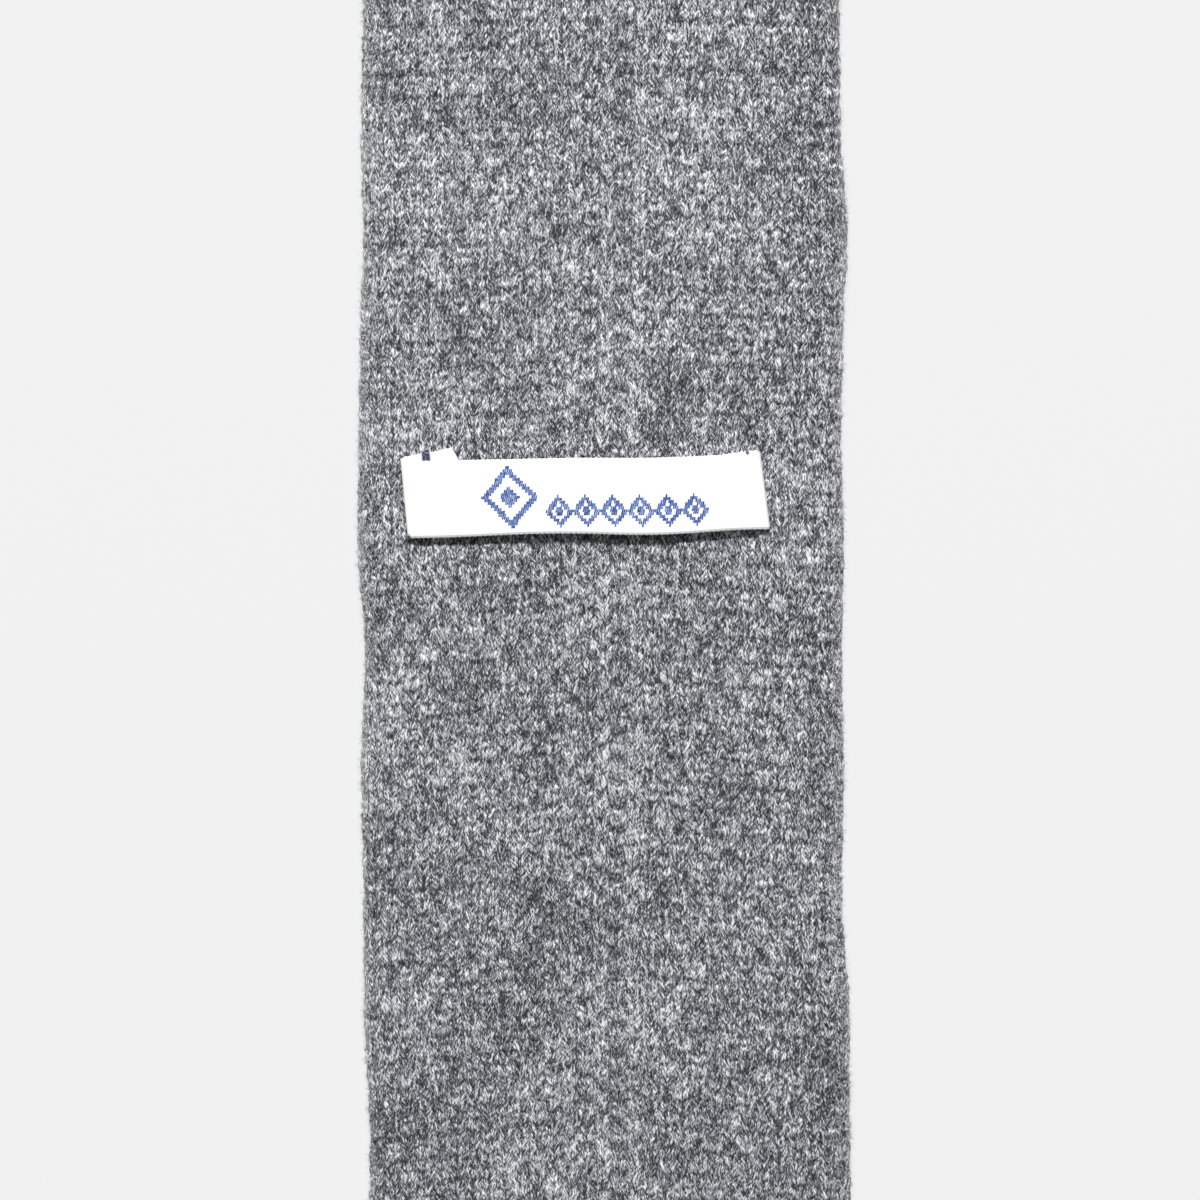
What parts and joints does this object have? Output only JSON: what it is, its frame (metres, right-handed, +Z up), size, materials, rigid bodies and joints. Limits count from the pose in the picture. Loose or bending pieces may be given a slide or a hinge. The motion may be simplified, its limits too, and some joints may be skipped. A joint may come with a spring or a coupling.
{
  "type": "knitted cashmere tie",
  "caption": "Long knitted tie with square ends, a flat hollow tube joined down its back, with a folded ribbon keeper sewn across the blade.",
  "frame": {"origin": "on the surface that the tie lies on, under the middle of its whole length and width", "axes": "+Y along the tie from the wide blade's tip to the narrow tail's end, +Z up out of its back, +X across it to the right as seen from above with the tail end up"},
  "size_m": [0.0766, 1.45, 0.0082],
  "materials": {
    "cashmere_knit": "matt grey melange cashmere knit with a soft nap",
    "woven_ribbon": "white woven ribbon with a low sheen and small blue woven figures"
  },
  "bodies": {
    "root": {"knit_tube": "cashmere_knit", "ribbon_keeper": "woven_ribbon"}
  },
  "joints": []
}
